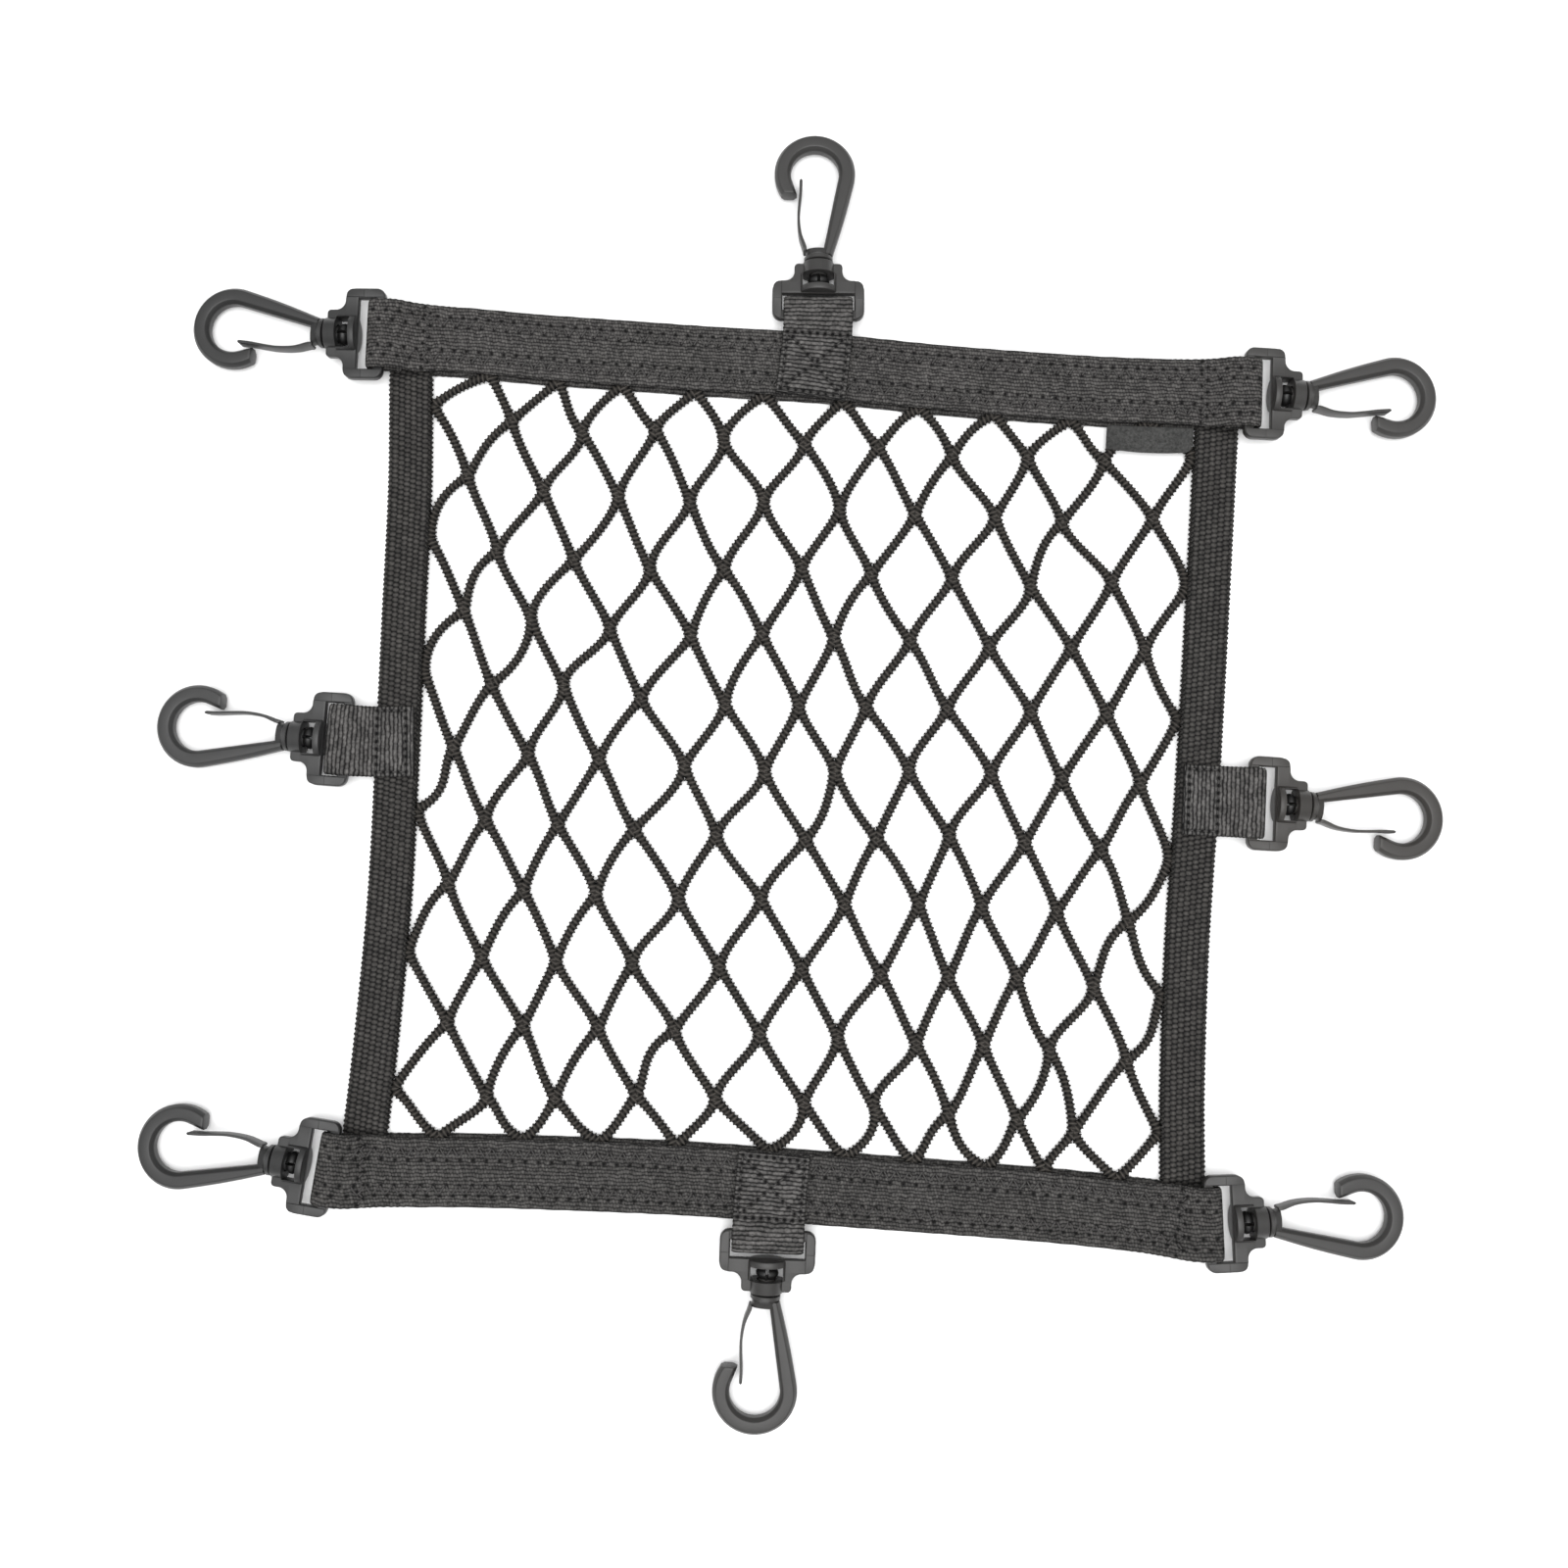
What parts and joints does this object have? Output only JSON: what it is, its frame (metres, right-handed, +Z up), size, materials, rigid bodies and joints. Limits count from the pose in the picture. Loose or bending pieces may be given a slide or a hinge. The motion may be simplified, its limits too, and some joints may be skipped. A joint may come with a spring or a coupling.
{
  "type": "cargo net",
  "caption": "Square cargo net of knotless braided mesh edged with webbing, with a swivel snap hook at each corner and at the middle of each side.",
  "frame": {"origin": "on the surface the net lies on, under the middle of its bounding box", "axes": "+X along the top and bottom bands to the right, +Y towards the band with the label, +Z up out of the face of the net"},
  "size_m": [0.4634, 0.4684, 0.0118],
  "materials": {
    "cord": "matte braided polypropylene cord",
    "webbing": "matte woven polypropylene webbing",
    "side_webbing": "matte woven edging, a little browner",
    "label_tape": "smooth flat woven tape",
    "hook_plastic": "satin moulded nylon"
  },
  "bodies": {
    "net": {"netting": "cord", "band_top": "webbing", "band_bottom": "webbing", "side_left": "side_webbing", "side_right": "side_webbing", "tab_top": "webbing", "tab_left": "webbing", "tab_right": "webbing", "tab_bottom": "webbing", "label": "label_tape", "frame_top_left": "hook_plastic", "frame_top": "hook_plastic", "frame_top_right": "hook_plastic", "frame_left": "hook_plastic", "frame_right": "hook_plastic", "frame_bottom_left": "hook_plastic", "frame_bottom": "hook_plastic", "frame_bottom_right": "hook_plastic"},
    "hook_top_left": {"hook_top_left": "hook_plastic"},
    "gate_top_left": {"gate_top_left": "hook_plastic"},
    "hook_top": {"hook_top": "hook_plastic"},
    "gate_top": {"gate_top": "hook_plastic"},
    "hook_top_right": {"hook_top_right": "hook_plastic"},
    "gate_top_right": {"gate_top_right": "hook_plastic"},
    "hook_left": {"hook_left": "hook_plastic"},
    "gate_left": {"gate_left": "hook_plastic"},
    "hook_right": {"hook_right": "hook_plastic"},
    "gate_right": {"gate_right": "hook_plastic"},
    "hook_bottom_left": {"hook_bottom_left": "hook_plastic"},
    "gate_bottom_left": {"gate_bottom_left": "hook_plastic"},
    "hook_bottom": {"hook_bottom": "hook_plastic"},
    "gate_bottom": {"gate_bottom": "hook_plastic"},
    "hook_bottom_right": {"hook_bottom_right": "hook_plastic"},
    "gate_bottom_right": {"gate_bottom_right": "hook_plastic"}
  },
  "joints": [
    {"name": "swivel_top_left", "type": "hinge", "parent": "net", "child": "hook_top_left", "pos_m": [-0.1825, 0.14736, 0.00579], "axis": [-0.9977, 0.0367, -0.0574], "continuous": true},
    {"name": "gate_top_left", "type": "hinge", "parent": "hook_top_left", "child": "gate_top_left", "pos_m": [-0.18807, 0.14256, 0.00546], "axis": [0.0575, 0.0019, -0.9983], "range_deg": [0, 16], "stiffness_Nm_per_rad": 0.02, "springref_deg": -2.86},
    {"name": "swivel_top", "type": "hinge", "parent": "net", "child": "hook_top", "pos_m": [-0.00463, 0.1851, 0.00579], "axis": [-0.0679, 0.996, -0.0576], "continuous": true},
    {"name": "gate_top", "type": "hinge", "parent": "hook_top", "child": "gate_top", "pos_m": [-0.00998, 0.19014, 0.00549], "axis": [0.0032, -0.0575, -0.9983], "range_deg": [0, 16], "stiffness_Nm_per_rad": 0.02, "springref_deg": -2.86},
    {"name": "swivel_top_right", "type": "hinge", "parent": "net", "child": "hook_top_right", "pos_m": [0.17469, 0.14715, 0.00579], "axis": [0.9944, 0.0889, -0.0574], "continuous": true},
    {"name": "gate_top_right", "type": "hinge", "parent": "hook_top_right", "child": "gate_top_right", "pos_m": [0.1805, 0.14265, 0.00547], "axis": [0.0575, 0.0013, 0.9983], "range_deg": [0, 16], "stiffness_Nm_per_rad": 0.02, "springref_deg": -2.86},
    {"name": "swivel_left", "type": "hinge", "parent": "net", "child": "hook_left", "pos_m": [-0.1823, -0.00098, 0.00579], "axis": [-0.9982, 0.0157, -0.0576], "continuous": true},
    {"name": "gate_left", "type": "hinge", "parent": "hook_left", "child": "gate_left", "pos_m": [-0.18761, 0.0041, 0.00549], "axis": [-0.0576, 0.0004, 0.9983], "range_deg": [0, 16], "stiffness_Nm_per_rad": 0.02, "springref_deg": -2.86},
    {"name": "swivel_right", "type": "hinge", "parent": "net", "child": "hook_right", "pos_m": [0.1825, -0.00258, 0.00579], "axis": [0.998, -0.0279, -0.0575], "continuous": true},
    {"name": "gate_right", "type": "hinge", "parent": "hook_right", "child": "gate_right", "pos_m": [0.18775, -0.00773, 0.00549], "axis": [0.0576, 0.0004, 0.9983], "range_deg": [0, 16], "stiffness_Nm_per_rad": 0.02, "springref_deg": -2.86},
    {"name": "swivel_bottom_left", "type": "hinge", "parent": "net", "child": "hook_bottom_left", "pos_m": [-0.17531, -0.15073, 0.00579], "axis": [-0.9977, 0.0365, -0.0575], "continuous": true},
    {"name": "gate_bottom_left", "type": "hinge", "parent": "hook_bottom_left", "child": "gate_bottom_left", "pos_m": [-0.18051, -0.14553, 0.00547], "axis": [-0.0573, 0.0053, 0.9983], "range_deg": [0, 16], "stiffness_Nm_per_rad": 0.02, "springref_deg": -2.86},
    {"name": "swivel_bottom", "type": "hinge", "parent": "net", "child": "hook_bottom", "pos_m": [0.0002, -0.185, 0.00579], "axis": [-0.0158, -0.9982, -0.0575], "continuous": true},
    {"name": "gate_bottom", "type": "hinge", "parent": "hook_bottom", "child": "gate_bottom", "pos_m": [-0.00488, -0.19031, 0.00549], "axis": [0.0015, -0.0575, 0.9983], "range_deg": [0, 16], "stiffness_Nm_per_rad": 0.02, "springref_deg": -2.86},
    {"name": "swivel_bottom_right", "type": "hinge", "parent": "net", "child": "hook_bottom_right", "pos_m": [0.1737, -0.14954, 0.00579], "axis": [0.9955, 0.0748, -0.0576], "continuous": true},
    {"name": "gate_bottom_right", "type": "hinge", "parent": "hook_bottom_right", "child": "gate_bottom_right", "pos_m": [0.1787, -0.14415, 0.00548], "axis": [-0.0573, -0.0052, -0.9983], "range_deg": [0, 16], "stiffness_Nm_per_rad": 0.02, "springref_deg": -2.86}
  ]
}
